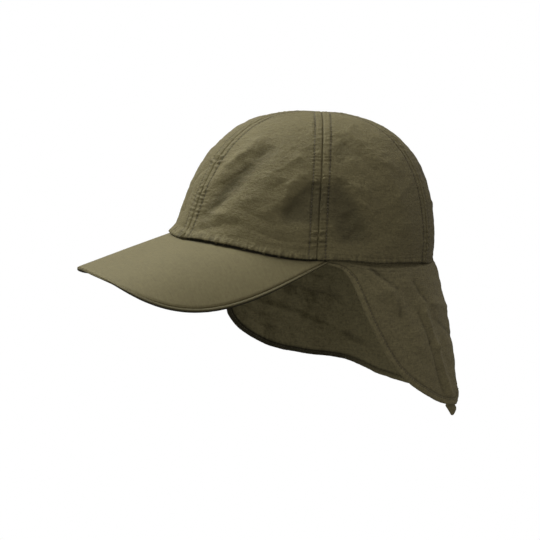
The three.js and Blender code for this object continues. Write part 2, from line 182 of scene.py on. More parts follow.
# Finer folds and creases of the panels, laid out as the folds are
CROWN_CREASES = table(
    "from to depth width",
    ((79, 60), (97, 41), 0.8, 5),
    ((73, 55), (90, 37), -1.0, 3.5),
    ((64, 37), (80, 29), 0.9, 3),
    ((71, 31), (78, 26), -1.0, 5),
    ((66, 25), (74, 17), -1.3, 6),
    ((82, 16), (77, 9), -1.0, 5),
    ((82, 22), (86, 18), 0.7, 2),
    ((52, 36), (61, 30), 0.8, 2.5),
    ((54, 30), (60, 25), -1.0, 3.5),
    ((54, 23), (60, 17), -0.8, 5),
    ((49, 31), (46, 14), 1.2, 5),
    ((61, 31), (60, 21), -0.7, 6),
    ((51, 18), (59, 20), -2.1, 7),
    ((68, 31), (80, 28), 0.9, 5),
    ((67, 9), (80, 7), -0.8, 7),
    ((70, 20), (80, 14), -1.2, 10),
    ((84, 30), (88, 20), 0.8, 2.2),
    ((38, 34), (52, 44), 0.6, 3),
    ((40, 26), (54, 37), -0.6, 3),
    ((20, 33), (34, 44), 0.5, 2.5),
    ((14, 27), (25, 36), -0.6, 2),
    ((9, 20), (20, 25), -0.5, 1.8),
    ((5, 14), (22, 13), 0.7, 2.5),
    ((30, 17), (44, 13), -0.6, 2.2),
    ((36, 9), (52, 7), -0.7, 2.2),
    ((100, 24), (112, 30), 0.6, 4),
    ((92, 12), (104, 8), -0.7, 3.5),
    ((-20, 26), (-6, 34), -0.8, 3),
    ((-90, 20), (-76, 30), -0.8, 4),
    ((130, 22), (150, 16), 0.8, 4),
    ((-140, 24), (-160, 15), -0.8, 4),
)

# Groups of short folds that cross a seam: where the first lies, how many, how far apart, height and reach
SEAM_PUCKERS = table(
    "seam at count pitch rise reach",
    (63, 10.5, 4, 3.1, 0.85, 8),
    (63, 29, 3, 3.4, 0.35, 6),
    (63, 51, 3, 3.2, 0.6, 7),
    (63, 71, 3, 3.8, 0.45, 6.5),
    (63, 90, 3, 3.4, 0.3, 6),
    (0, 14, 3, 2.8, 0.4, 6),
    (0, 25, 5, 3.3, 0.5, 6.5),
    (0, 58, 2, 3.0, 0.7, 6),
    (0, 70, 4, 3.4, 0.35, 6),
    (123, 8, 5, 3.2, 0.55, 7),
    (123, 40, 3, 3.4, 0.4, 6),
    (-63, 12, 4, 3.2, 0.6, 7),
    (-63, 48, 3, 3.5, 0.4, 6),
    (-123, 14, 4, 3.1, 0.5, 7),
    (-180, 10, 4, 3.2, 0.5, 7),
)

# Places along the seams where the cloth is gathered more: azimuth of the seam, height along it, gain, spread
SEAM_GATHERS = table(
    "seam at gain spread",
    (63, 16, 1.9, 6),
    (63, 54, 1.0, 6),
    (63, 76, 0.9, 7),
    (0, 60, 1.6, 6),
    (0, 30, 1.3, 8),
    (0, 18, 1.0, 4),
)

# Share of a fold that crosses a seam
SEAM_HOLD = 0.45

# How sharp the ridges of the folds and creases are: 2 is round, and less is sharper
FOLD_POWER = 2
CROWN_CREASE_POWER = 1.25
FLAP_CREASE_POWER = 1.4

# Rows and columns of a crown panel, the visor and the flap
ROWS = 240
COLUMNS = 120
VISOR_ROWS = 72
VISOR_COLUMNS = 240
FLAP_ROWS = 108
FLAP_COLUMNS = 440
# Every so many rows and columns of the outer face are kept on an inner face that shows less
INNER_EVERY = 2


def mix(a, b, t):
    return a + (b - a) * t


def smooth(t):
    t = np.clip(t, 0, 1)
    return t * t * (3 - 2 * t)


def step_up(x, low, high):
    return smooth((x - low) / (high - low))


def bell(x, width, power=2):
    """One at the middle and near none beyond about twice the width."""
    return np.exp(-((x / width) ** power))


def wrap(angle):
    return (angle + 180) % 360 - 180


def unit(v):
    return v / np.maximum(np.linalg.norm(v, axis=-1, keepdims=True), 1e-12)


def dot(a, b):
    return np.sum(a * b, axis=-1, keepdims=True)


def stack(*values):
    return np.stack(np.broadcast_arrays(*values), axis=-1)


def noise(u, v, seed):
    """Smooth noise of about -1 to 1 with bumps about one unit wide."""
    u, v = np.broadcast_arrays(np.asarray(u, float), np.asarray(v, float))
    iu = np.floor(u).astype(np.int64)
    iv = np.floor(v).astype(np.int64)
    fu = u - iu
    fv = v - iv

    def corner(i, j):
        h = ((iu + i) * 374761393 + (iv + j) * 668265263 + seed * 69069) & 0xFFFFFFFF
        h = ((h ^ (h >> 13)) * 1274126177) & 0xFFFFFFFF
        angle = (h ^ (h >> 16)) * (2 * math.pi / 2**32)
        return np.cos(angle) * (fu - i) + np.sin(angle) * (fv - j)

    su = fu**3 * (fu * (fu * 6 - 15) + 10)
    sv = fv**3 * (fv * (fv * 6 - 15) + 10)
    low = mix(corner(0, 0), corner(1, 0), su)
    high = mix(corner(0, 1), corner(1, 1), su)
    return 1.5 * mix(low, high, sv)


def crinkle(u, v, layers, seed):
    """Adds layers of noise, each given by its width, its height and how far it lifts the cloth."""
    return sum(lift * noise(u / wide, v / tall, seed + 7 * k) for k, (wide, tall, lift) in enumerate(layers))


def crisp(value):
    """Noise with soft ridges and sharper valleys between them."""
    return 0.5 * value + 0.9 * (np.sqrt(value**2 + 0.01) - 0.35)


def soften(grid, rounds):
    """Blurs a grid of values by averaging each with its neighbours."""
    for _ in range(rounds):
        wide = np.pad(grid, ((0, 0), (2, 2)), mode="edge")
        grid = (wide[:, :-4] + wide[:, 2:-2] + wide[:, 4:]) / 3
        tall = np.pad(grid, ((2, 2), (0, 0)), mode="edge")
        grid = (tall[:-4] + tall[2:-2] + tall[4:]) / 3
    return grid


def segment_lift(x, y, ends, depth, width, power=2):
    """A fold along a line between two places on laid out cloth, rounded at power 2 and sharper below it."""
    (ax, ay), (bx, by) = ends
    run = stack(bx - ax, by - ay)
    px = x - ax
    py = y - ay
    along = np.clip((px * run[..., 0] + py * run[..., 1]) / (run[..., 0] ** 2 + run[..., 1] ** 2), 0, 1)
    away = np.hypot(px - along * run[..., 0], py - along * run[..., 1])
    return depth * bell(away, width, power)


# Shapes of the solids


def visor_height(x, forward):
    past = forward - HALF_LENGTH
    reach = np.clip((forward - 40) / 100, 0, 2)
    arch = (VISOR_ARCH + VISOR_ARCH_GAIN * reach) * np.abs(x / 80) ** VISOR_ARCH_POWER
    return VISOR_HEIGHT - VISOR_SLOPE * past - VISOR_BOW * (past / 80) ** 2 - arch


def base_edge(azimuth):
    angle = np.radians(azimuth)
    front = ((1 + np.cos(angle)) / 2) ** 2
    kick = 1 + FRONT_FLARE * front
    x = HALF_WIDTH * np.sin(angle) * (1 - EGG * np.cos(angle)) * kick
    y = -HALF_LENGTH * np.cos(angle) * kick
    return stack(x, y, edge_height(azimuth, x, y))


def edge_height(azimuth, x, y):
    past = (np.abs(azimuth) - VISOR_HALF_ANGLE) / VISOR_BLEND_ANGLE
    behind = -BACK_DIP * ((1 - np.cos(np.radians(azimuth))) / 2) ** 2
    return mix(visor_height(x, -y), behind, smooth(past))


def outward(azimuth):
    angle = np.radians(azimuth)
    return unit(stack(np.sin(angle) / HALF_WIDTH, -np.cos(angle) / HALF_LENGTH, 0 * angle))


def crown_point(azimuth, lift):
    base = base_edge(azimuth)
    cosine = np.cos(np.radians(azimuth))
    front = (1 + cosine) / 2
    plan_power = mix(PLAN_POWER["back"], PLAN_POWER["front"], front)
    plan_power = plan_power + PLAN_POWER["side"] * (1 - cosine**2)
    rise_power = mix(RISE_POWER["back"], RISE_POWER["front"], front)
    inward = np.maximum(np.cos(np.radians(lift)), 0) ** plan_power
    rise = (CROWN_HEIGHT - base[..., 2]) * np.maximum(np.sin(np.radians(lift)), 0) ** rise_power
    flare = FRONT_FLARE * front * front
    scale = inward * (1 + flare * np.exp(-rise / FLARE_HEIGHT)) / (1 + flare)
    return stack(base[..., 0] * scale, mix(APEX_BACK, base[..., 1], scale), base[..., 2] + rise)


def crown_normal(azimuth, lift):
    step = 0.5
    low = np.clip(lift, step, 90 - 2 * step)
    across = crown_point(azimuth + step, low) - crown_point(azimuth - step, low)
    along = crown_point(azimuth, low + step) - crown_point(azimuth, low - step)
    normal = np.cross(across, along)
    normal[..., 2] *= smooth(lift / EDGE_LIFT)
    return unit(normal)


def crown_relief(azimuth, lift, across):
    """The panels' puff with their folds and creases, and the folds alone."""
    puff = PANEL_PUFF * 4 * across * (1 - across) * np.sin(np.radians(2 * lift))
    seam = smooth(4 * np.minimum(across, 1 - across))
    edge = smooth(lift / EDGE_LIFT)
    per_degree = HALF_LENGTH * math.pi / 180
    shrink = np.maximum(np.cos(np.radians(lift)), 0) ** 0.8
    folds = 0
    ragged = 1.3 * noise(azimuth / 14, lift / 8, 401) + 0.35 * noise(azimuth / 4, lift / 2.2, 404)
    azimuth = azimuth + ragged
    lift = lift + 0.8 * noise(azimuth / 10, lift / 9, 402)
    powers = [FOLD_POWER] * len(CROWN_FOLDS) + [CROWN_CREASE_POWER] * len(CROWN_CREASES)
    for fold, power in zip(CROWN_FOLDS + CROWN_CREASES, powers):
        (from_azimuth, from_lift), (to_azimuth, to_lift) = fold["from"], fold["to"]
        x = wrap(azimuth - from_azimuth) * per_degree * shrink
        y = (lift - from_lift) * per_degree
        run = ((to_azimuth - from_azimuth) * per_degree * shrink, (to_lift - from_lift) * per_degree)
        folds = folds + segment_lift(x, y, ((0, 0), run), fold["depth"], fold["width"], power)
    patchy = 1 + 0.4 * noise(azimuth / 7, lift / 5, 403)
    folds = folds * edge * patchy
    return puff + folds * mix(SEAM_HOLD, 1, seam), folds


def visor_outline(share):
    end = -base_edge(VISOR_HALF_ANGLE)[1]
    angle = np.radians(share * 90)
    sine = np.abs(np.sin(angle))
    cosine = np.maximum(np.cos(angle), 0)
    radius = (sine**VISOR_SQUARENESS + cosine**VISOR_SQUARENESS) ** (-1 / VISOR_SQUARENESS)
    return VISOR_HALF_WIDTH * np.sign(share) * sine * radius, mix(end, VISOR_REACH, cosine * radius)


def outline_normal(share):
    step = 0.01
    before_x, before_f = visor_outline(np.clip(share - step, -1, 1))
    after_x, after_f = visor_outline(np.clip(share + step, -1, 1))
    return -unit(stack(after_f - before_f, after_x - before_x, 0 * share))


def visor_point(share, inside, inset):
    inset = inset + FAR_PULL * bell(share - FAR_PULL_AT, FAR_SPREAD)
    held_up = FAR_LIFT * bell(share - FAR_LIFT_AT, FAR_SPREAD) * inside**2
    azimuth = share * VISOR_HALF_ANGLE
    root = base_edge(azimuth) - (CROWN_WALL + 1) * outward(azimuth)
    rim_x, rim_f = visor_outline(share)
    outer = stack(rim_x, -rim_f, 0) - np.asarray(inset)[..., None] * outline_normal(share)
    x = mix(root[..., 0], outer[..., 0], inside)
    y = mix(root[..., 1], outer[..., 1], inside)
    return stack(x, y, visor_height(x, -y) + held_up)


def flap_value(column, turn):
    turns = np.array([s["turn"] for s in FLAP_STATIONS], float)
    values = np.array([s[column] for s in FLAP_STATIONS], float)
    last = len(turns) - 1
    before = np.maximum(np.arange(last + 1) - 1, 0)
    after = np.minimum(np.arange(last + 1) + 1, last)
    slopes = (values[after] - values[before]) / (turns[after] - turns[before])
    i = np.clip(np.searchsorted(turns, turn, side="right") - 1, 0, last - 1)
    span = turns[i + 1] - turns[i]
    t = np.clip((turn - turns[i]) / span, 0, 1)
    swell = t * (1 - t) * span
    return mix(values[i], values[i + 1], smooth(t)) + swell * (slopes[i] * (1 - t) - slopes[i + 1] * t)


def flap_azimuth(turn):
    return np.where(turn < 0, -180 - turn, 180 - turn)


def flap_top(turn):
    azimuth = flap_azimuth(turn)
    return base_edge(azimuth) - (CROWN_WALL + TUCK_GAP) * outward(azimuth)


def flap_outline(turn):
    point = flap_top(turn) + outward(flap_azimuth(turn)) * flap_value("out", turn)[..., None]
    point[..., 2] -= flap_value("drop", turn)
    return point


def flap_edge(turn):
    before = flap_outline(np.clip(turn - 1, -FLAP_LIMIT, FLAP_LIMIT))
    after = flap_outline(np.clip(turn + 1, -FLAP_LIMIT, FLAP_LIMIT))
    along = unit(after - before)
    down = unit(flap_outline(turn) - flap_top(turn))
    out = unit(down - along * dot(down, along))
    taper = np.clip(flap_value("drop", turn) / 12, 0.25, 1)
    return along, out, HEM_WIDTH * taper


def flap_fold(turn, fall):
    total = 0
    for fold in FLAP_FOLDS:
        run = np.clip((fall - fold["from"]) / (fold["to"] - fold["from"]), 0, 1)
        away = turn - mix(fold["top"], fold["edge"], fall)
        total = total + fold["depth"] * np.sin(math.pi * run) * bell(away, fold["width"])
    return total


def flap_point(turn, fall):
    _, out, width = flap_edge(turn)
    low = flap_outline(turn) - out * (width + HEM_GAP)[..., None]
    point = mix(flap_top(turn), low, fall[..., None])
    hang = np.clip(fall, 0, None)
    belly = FLAP_BELLY * np.minimum(flap_value("drop", turn) / FULL_DROP, 1) * hang**BELLY_START * (1 - hang)
    return point + outward(flap_azimuth(turn)) * (belly + flap_fold(turn, fall))[..., None]


# Mesh making


def make_mesh(name, points, faces, uv, painted_shade):
    """A mesh from points in millimetres, with points that meet welded and flat faces dropped."""
    keys = np.round(points / 1e-3).astype(np.int64)
    _, first, index = np.unique(keys, axis=0, return_index=True, return_inverse=True)
    index = index.ravel()
    welded = index[faces]
    good = (welded != np.roll(welded, 1, axis=1)).all(axis=1)
    welded = welded[good]
    corners = faces[good]
    mesh = bpy.data.meshes.new(name)
    mesh.vertices.add(len(first))
    mesh.vertices.foreach_set("co", (points[first] * MM).astype(np.float32).ravel())
    mesh.loops.add(welded.size)
    mesh.loops.foreach_set("vertex_index", welded.ravel().astype(np.int32))
    mesh.polygons.add(len(welded))
    mesh.polygons.foreach_set("loop_start", np.arange(0, welded.size, 3, dtype=np.int32))
    mesh.update(calc_edges=True)
    layer = mesh.uv_layers.new(name="UVMap")
    layer.data.foreach_set("uv", uv[corners].reshape(-1, 2).astype(np.float32).ravel())
    # Painted shade: each point's share, by which the material darkens the cloth's colour
    if painted_shade is not None:
        shade = np.clip(painted_shade, 0, 1).ravel()[first]
        mesh.attributes.new("painted_shade", "FLOAT", "POINT").data.foreach_set("value", shade.astype(np.float32))
    mesh.polygons.foreach_set("use_smooth", np.ones(len(welded), bool))
    mesh.validate()
    mesh.update()
    return mesh


def halved(*corners):
    """Two triangles for each place with four corners."""
    a, b, c, d = [corner.ravel() for corner in corners]
    return [np.stack([a, b, c], 1), np.stack([a, c, d], 1)]


def grid_faces(ids):
    return np.concatenate(halved(ids[:-1, :-1], ids[:-1, 1:], ids[1:, 1:], ids[1:, :-1]))


def rim_faces(fine, coarse, every):
    """Joins a line of points to a line that has one point for every so many of it."""
    faces = []
    for k in range(len(coarse) - 1):
        start = k * every
        for i in range(every):
            far = coarse[k] if 2 * i < every else coarse[k + 1]
            faces.append((fine[start + i], fine[start + i + 1], far))
            if 2 * i < every <= 2 * (i + 1):
                faces.append((fine[start + i + 1], coarse[k + 1], coarse[k]))
    return np.array(faces)


def shell(outer, inner, uv, every=1):
    """Points, faces and uv of a closed sheet: a fine outer grid and an inner grid that may be coarser."""
    rows, columns = outer.shape[:2]
    small = inner[::every, ::every]
    ids = np.arange(rows * columns).reshape(rows, columns)
    inner_ids = ids.size + np.arange(small[..., 0].size).reshape(small.shape[:2])
    faces = [
        grid_faces(ids),
        grid_faces(inner_ids)[:, ::-1],
        rim_faces(ids[0], inner_ids[0], every)[:, ::-1],
        rim_faces(ids[-1], inner_ids[-1], every),
        rim_faces(ids[:, 0], inner_ids[:, 0], every),
        rim_faces(ids[:, -1], inner_ids[:, -1], every)[:, ::-1],
    ]
    points = np.concatenate([outer.reshape(-1, 3), small.reshape(-1, 3)])
    uvs = np.concatenate([uv.reshape(-1, 2), uv[::every, ::every].reshape(-1, 2)])
    return points, np.concatenate(faces), uvs


def add_object(data):
    thing = bpy.data.objects.new(data.name, data)
    bpy.context.scene.collection.objects.link(thing)
    return thing


def add_piece(name, shape, material, replaced=(), painted_shade=None):
    """Adds a piece from its points, faces and uv, with a share of painted shade for each point or none."""
    mesh = make_mesh(name, *shape, painted_shade)
    piece = add_object(mesh)
    mesh.materials.append(material)
    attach(piece, "root")
    if replaced:
        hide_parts(*replaced)
    return piece


def lengths(points, axis):
    """Distance run along a grid's rows or columns, from its first line."""
    steps = np.linalg.norm(np.diff(points, axis=axis), axis=-1)
    run = np.cumsum(steps, axis=axis)
    start = np.zeros_like(np.take(run, [0], axis=axis))
    return np.concatenate([start, run], axis=axis)


def tube_faces(ids):
    """Faces of closed tubes with capped ends, from the number of each point by tube, ring and side."""
    turned = np.roll(ids, -1, axis=2)
    faces = halved(ids[:, :-1], turned[:, :-1], turned[:, 1:], ids[:, 1:])
    for k in range(1, ids.shape[2] - 1):
        faces.append(np.stack([ids[:, 0, 0], ids[:, 0, k + 1], ids[:, 0, k]], 1))
        faces.append(np.stack([ids[:, -1, 0], ids[:, -1, k], ids[:, -1, k + 1]], 1))
    return np.concatenate(faces)


def side_angles(sides):
    return np.arange(sides) * 2 * math.pi / sides


def at_runs(places, run, points):
    """Points at given places of a line whose own points have these runs."""
    return np.stack([np.interp(places, run, points[:, k]) for k in range(3)], axis=-1)


def stitch_run(path, normals, start, end):
    """Threads laid along a path: each dips into the cloth at both ends."""
    run = lengths(path, 0)
    centres = np.arange(start + STITCH_PITCH / 2, end - STITCH_PITCH / 2, STITCH_PITCH)
    shares = np.array([-1, -0.82, -0.45, 0, 0.45, 0.82, 1])
    heights = np.array([-0.3, -0.08, 0.7, 1, 0.7, -0.08, -0.3]) * STITCH_RISE
    sizes = np.array([0.45, 0.85, 1, 1.05, 1, 0.85, 0.45]) * THREAD
    angles = side_angles(THREAD_SIDES)
    at = centres[:, None] + shares * STITCH_LENGTH / 2
    place = at_runs(at, run, path)
    up = unit(at_runs(at, run, normals))
    along = unit(place[:, -1] - place[:, 0])[:, None, :] * np.ones((1, len(shares), 1))
    side = unit(np.cross(along, up))
    place = place + up * heights[None, :, None]
    ring = (
        place[:, :, None, :]
        + side[:, :, None, :] * (np.cos(angles) * sizes[:, None])[None, :, :, None]
        + up[:, :, None, :] * (np.sin(angles) * sizes[:, None])[None, :, :, None]
    )
    ids = np.arange(ring[..., 0].size).reshape(ring.shape[:3])
    return ring.reshape(-1, 3), tube_faces(ids)


def thread_piece(name, runs):
    points = np.concatenate([run_points for run_points, _ in runs])
    starts = np.cumsum([0] + [len(run_points) for run_points, _ in runs])
    faces = np.concatenate([run_faces + start for (_, run_faces), start in zip(runs, starts)])
    return add_piece(name, (points, faces, points[:, :2]), thread)


def strip(centre, wide, thick, width, height, sides, squareness):
    """A soft band along a path: a rounded oblong section laid on two directions."""
    angles = side_angles(sides)
    power = 2 / squareness
    across = np.sign(np.cos(angles)) * np.abs(np.cos(angles)) ** power
    above = np.sign(np.sin(angles)) * np.abs(np.sin(angles)) ** power
    half_wide = (width / 2)[:, None] * across
    half_high = (height / 2)[:, None] * above
    points = centre[:, None, :] + wide[:, None, :] * half_wide[..., None]
    points = points + thick[:, None, :] * half_high[..., None]
    ids = np.arange(len(centre) * sides).reshape(1, len(centre), sides)
    run = lengths(centre, 0)
    uv = stack(run[:, None], half_wide + half_high)
    return points.reshape(-1, 3), tube_faces(ids), uv.reshape(-1, 2)


# Materials


class Nodes:
    """A short way to add nodes to a material or a sky and link them."""

    def __init__(self, owner):
        self.owner = owner
        owner.use_nodes = True
        self.tree = owner.node_tree
        self.tree.nodes.clear()

    def fill(self, socket, value):
        if isinstance(value, bpy.types.NodeSocket):
            self.tree.links.new(value, socket)
        else:
            socket.default_value = value

    def add(self, kind, inputs=None, **settings):
        node = self.tree.nodes.new(kind)
        for key, value in settings.items():
            setattr(node, key, value)
        for key, value in (inputs or {}).items():
            self.fill(node.inputs[key], value)
        return node

    def math(self, operation, *values):
        node = self.add("ShaderNodeMath", operation=operation)
        for socket, value in zip(node.inputs, values):
            self.fill(socket, value)
        return node.outputs[0]

    def add_texture(self, total, texture, gain):
        """Adds a texture to a total in such a way that its middle value changes nothing."""
        return self.math("MULTIPLY_ADD", self.math("SUBTRACT", texture, 0.5), gain, total)

    def noise(self, vector, scale, detail, roughness):
        inputs = {"Vector": vector, "Scale": scale, "Detail": detail, "Roughness": roughness}
        return self.add("ShaderNodeTexNoise", inputs).outputs["Fac"]

    def stretched(self, vector, x, y):
        inputs = {0: vector, 1: (x, y, 0.0)}
        return self.add("ShaderNodeVectorMath", inputs, operation="MULTIPLY").outputs[0]

    def shades(self, value, colour, stops):
        """Shades of one colour, from stops that each give a place and how bright the colour is there."""
        node = self.add("ShaderNodeValToRGB", {"Fac": value})
        elements = node.color_ramp.elements
        elements[0].position, elements[1].position = stops[0][0], stops[-1][0]
        for position, _ in stops[1:-1]:
            elements.new(position)
        for element, (_, bright) in zip(elements, stops):
            element.color = (*[c * bright for c in colour], 1)
        return node.outputs["Color"]

    def finish(self, shader, output="ShaderNodeOutputMaterial"):
        self.add(output, {"Surface": shader.outputs[0]})
        return self.owner


WEAVE_BUMP = 0.015
PAINTED_SHADE_SHARE = 0.92
CLOTH_ROUGHNESS = 0.7


def cloth_material(name, colour, grain, crinkled):
    """Fine plain weave nylon with slubs, crinkles and uneven dye, laid out by the piece's own uv in mm."""
    n = Nodes(bpy.data.materials.new(name))
    uv = n.add("ShaderNodeUVMap", uv_map="UVMap").outputs["UV"]
    place = n.add("ShaderNodeTexCoord").outputs["Object"]
    parts = n.add("ShaderNodeSeparateXYZ", {"Vector": uv})
    warp = n.math("SINE", n.math("MULTIPLY", parts.outputs["X"], 2 * math.pi / WEAVE_PITCH))
    weft = n.math("SINE", n.math("MULTIPLY", parts.outputs["Y"], 2 * math.pi / WEAVE_PITCH))
    threads = n.math("MULTIPLY", warp, weft)
    slubs = n.noise(n.stretched(uv, 0.05, 0.9), 1.6, 3.0, 0.6)
    uprights = n.noise(n.stretched(uv, 0.8, 0.06), 1.6, 2.0, 0.5)
    fine = n.noise(uv, 0.55, 4.0, 0.62)
    dye = n.noise(place, 28.0, 5.0, 0.6)
    mottle = n.noise(place, 420.0, 3.0, 0.7)
    tone = n.math("MULTIPLY_ADD", dye, 0.22, 0.39)
    for texture, gain in ((mottle, 0.5), (slubs, 0.4), (fine, 0.35)):
        tone = n.add_texture(tone, texture, gain * grain)
    tone = n.math("MULTIPLY_ADD", threads, 0.035, tone)
    shade = n.shades(tone, colour, [(0.0, 0.62), (0.5, 1.0), (1.0, 1.34)])
    # Painted shade: the mesh's per-point share darkens the base colour where shade falls, in folds, seams,
    # creases and under edges
    painted_shade = n.add("ShaderNodeAttribute", attribute_name="painted_shade").outputs["Fac"]
    painted_shade_scale = n.math("MULTIPLY_ADD", painted_shade, -PAINTED_SHADE_SHARE, 1.0)
    colour_after_painted_shade = n.add("ShaderNodeVectorMath", {0: shade, "Scale": painted_shade_scale}, operation="SCALE")
    height = n.math("MULTIPLY", threads, WEAVE_BUMP)
    for texture, gain in ((slubs, 0.16), (uprights, 0.07), (fine, 0.5)):
        height = n.add_texture(height, texture, gain * crinkled)
    bump = n.add("ShaderNodeBump", {"Strength": 0.9, "Distance": MM, "Height": height})
    shader = {
        "Base Color": colour_after_painted_shade.outputs["Vector"],
        "Roughness": n.math("MULTIPLY_ADD", mottle, 0.16, CLOTH_ROUGHNESS - 0.08),
        "Normal": bump.outputs["Normal"],
        "Specular IOR Level": 0.22,
        "Sheen Weight": 0.06,
        "Sheen Roughness": 0.45,
        "Sheen Tint": (0.75, 0.72, 0.55, 1),
    }
    return n.finish(n.add("ShaderNodeBsdfPrincipled", shader))


def thread_material(name, colour):
    """Twisted sewing thread."""
    n = Nodes(bpy.data.materials.new(name))
    twist = n.noise(n.add("ShaderNodeTexCoord").outputs["Object"], 900.0, 2.0, 0.6)
    shade = n.shades(twist, colour, [(0.3, 0.6), (0.7, 1.3)])
    bump = n.add("ShaderNodeBump", {"Strength": 0.6, "Distance": 0.1 * MM, "Height": twist})
    shader = {"Base Color": shade, "Roughness": 0.6, "Normal": bump.outputs["Normal"]}
    return n.finish(n.add("ShaderNodeBsdfPrincipled", shader))


PANEL_COLOUR = (0.168, 0.147, 0.072)
VISOR_COLOUR = (0.158, 0.139, 0.069)
# The flap's cloth is paler than the crown's, partly as painted light that brightens the shaded inside of the
# flap
FLAP_COLOUR = (0.215, 0.190, 0.099)
THREAD_COLOUR = (0.105, 0.09, 0.055)

panel_cloth = cloth_material("panel_cloth", PANEL_COLOUR, grain=1.9, crinkled=2.0)
visor_cloth = cloth_material("visor_cloth", VISOR_COLOUR, grain=1.2, crinkled=0.4)
flap_cloth = cloth_material("flap_cloth", FLAP_COLOUR, grain=2.4, crinkled=1.5)
thread = thread_material("thread", THREAD_COLOUR)


# Crown


SEAM_GROOVE = {"depth": 0.7, "width": 0.42}
SEAM_DOUBLE = 0.22
ROW_SINK = {"depth": 0.28, "width": 0.8}
NEEDLE_PIT = {"depth": 0.4, "width": 0.75}


def seam_profile(at):
    """The cloth rolls into the seam, lies double beside it and is pulled down along the row of stitches."""
    room = step_up(at.to_tip, 2, 16)
    groove = -SEAM_GROOVE["depth"] * bell(at.away, SEAM_GROOVE["width"])
    double = SEAM_DOUBLE * step_up(at.away, 0.3, 1.5)
    double = double * (1 - step_up(at.away, SEAM_ROW - 0.4, SEAM_ROW + 1.2))
    row = -ROW_SINK["depth"] * bell(at.away - SEAM_ROW, ROW_SINK["width"])
    return (groove + double) * mix(0.35, 1, room) + row * room


def stitch_wave(run):
    """One at each hole of the needle and none half-way between two."""
    return 0.5 + 0.5 * np.cos(2 * math.pi * run / STITCH_PITCH)


def stitch_pits(at):
    """Small pits where the needle went in."""
    pit = bell(at.away - SEAM_ROW, NEEDLE_PIT["width"])
    return -NEEDLE_PIT["depth"] * stitch_wave(at.run) ** 2 * pit * step_up(at.to_tip, 8, 16)


def seam_puckers(at, away, seam, side):
    """Cloth gathered by a seam: fine between its rows, broader beyond them, with the groups laid out above."""
    run = at.run
    seed = int(seam) % 360 + 11
    jitter = 0.7 * noise(run / 8, 0.37, seed)
    tilt = side * away * 0.05
    tight = crisp(1.8 * noise(run / 1.65 + jitter + tilt, 0.3 + away / 12, seed + 1))
    broad = crisp(1.8 * noise(run / 2.9 + jitter, 0.6 + away / 18, seed + 2))
    swell = 0.62 + 0.5 * noise(run / 17, 0.9, seed + 3)
    for place in SEAM_GATHERS:
        if place["seam"] == seam:
            swell = swell + place["gain"] * bell(run - place["at"], place["spread"])
    near = step_up(away, 0.3, 1.6) * (1 - step_up(away, SEAM_ROW - 0.6, SEAM_ROW + 2.2))
    far = step_up(away, 2, 5) * (1 - step_up(away, 7, 15))
    lift = (0.32 * tight * near + 0.25 * broad * far) * swell
    for group in SEAM_PUCKERS:
        if group["seam"] == seam:
            for k in range(group["count"]):
                drift = 0.35 * math.sin(2.1 * k + seam)
                off = run - group["at"] - group["pitch"] * (k + drift) - side * 0.07 * away
                reach = group["reach"] * (0.85 + 0.3 * math.sin(1.7 * k + 0.4 * seam + side))
                short = step_up(away, 0.2, 1.0) * (1 - step_up(away, 0.55 * reach, 1.25 * reach))
                ridge = bell(off, 0.85) - 0.45 * bell(np.abs(off) - 1.5, 0.7)
                lift = lift + 0.7 * group["rise"] * ridge * short
    return lift * step_up(at.to_tip, 6, 18)


def panel_rows(from_seam, to_seam):
    """Lifts for rows that are evenly spaced up the panel."""
    dense = 90 * np.linspace(0, 1, 4000) ** 1.8
    middle = crown_point(np.full_like(dense, (from_seam + to_seam) / 2), dense)
    run = lengths(middle, 0)
    return np.interp(np.linspace(0, run[-1], ROWS + 1), run, dense)


def panel_columns():
    """Shares for columns that lie closer together beside the seams."""
    t = np.linspace(-1, 1, COLUMNS + 1)
    return 0.5 + 0.5 * np.sign(t) * (1 - (1 - np.abs(t)) ** 1.35)


def edge_shift(azimuth):
    """The lower edge rises a little over the ear and sinks behind it, on the wearer's left."""
    rise = 2.2 * bell(azimuth - 98, 20)
    return rise - 2.4 * step_up(azimuth, 116, 140) * (1 - step_up(azimuth, 150, 180))


def panel_places(from_seam, to_seam):
    """A panel's smooth face, and where each of its points lies between the seams, the edge and the tip."""
    across, lift = np.meshgrid(panel_columns(), panel_rows(from_seam, to_seam))
    azimuth = mix(from_seam, to_seam, across)
    face = crown_point(azimuth, lift)
    face[..., 2] += SEAT_GAP
    run = lengths(face, 0)
    at = SimpleNamespace(lift=lift, across=across, azimuth=azimuth, face=face, run=run)
    at.normal = crown_normal(azimuth, lift)
    at.to_tip = run[-1:] - run
    at.from_left = lengths(face, 1)
    at.from_right = at.from_left[:, -1:] - at.from_left
    at.away = np.minimum(at.from_left, at.from_right)
    at.around = azimuth * RUN_PER_DEGREE
    at.near = step_up(azimuth, -6, 10)
    at.front = np.clip(np.cos(np.radians(azimuth * 1.15)), 0, 1)
    at.at_edge = 1 - step_up(run, 2, 8)
    at.over_visor = 1 - step_up(np.abs(azimuth), VISOR_HALF_ANGLE - 6, VISOR_HALF_ANGLE)
    return at


def edge_gathers(at):
    """Short upright folds on the lower edge, most of them above the visor."""
    gathers = crisp(2.2 * noise(at.around / 1.9 + 0.5 * noise(at.around / 7, 0.3, 5), 0.4 + at.run / 14, 71))
    return gathers * (0.8 + 0.45 * noise(at.around / 13, 0.7, 72)) * mix(0.3, 1.0, at.front)


def panel_crinkle(at):
    """Fine crumple away from the seams and the tip."""
    free = step_up(at.away, 1, 9) * step_up(at.to_tip, 4, 30)
    level = [(46, 26, 0.45), (26, 12, 0.18), (20, 4.6, 0.13), (11, 2.4, 0.09), (6, 1.5, 0.05)]
    diagonal = crinkle(at.around + 0.7 * at.run, at.run - 0.6 * at.around, [(30, 9, 0.22), (14, 4, 0.1)], 57)
    return free * (crinkle(at.around, at.run, level, 31) + diagonal)


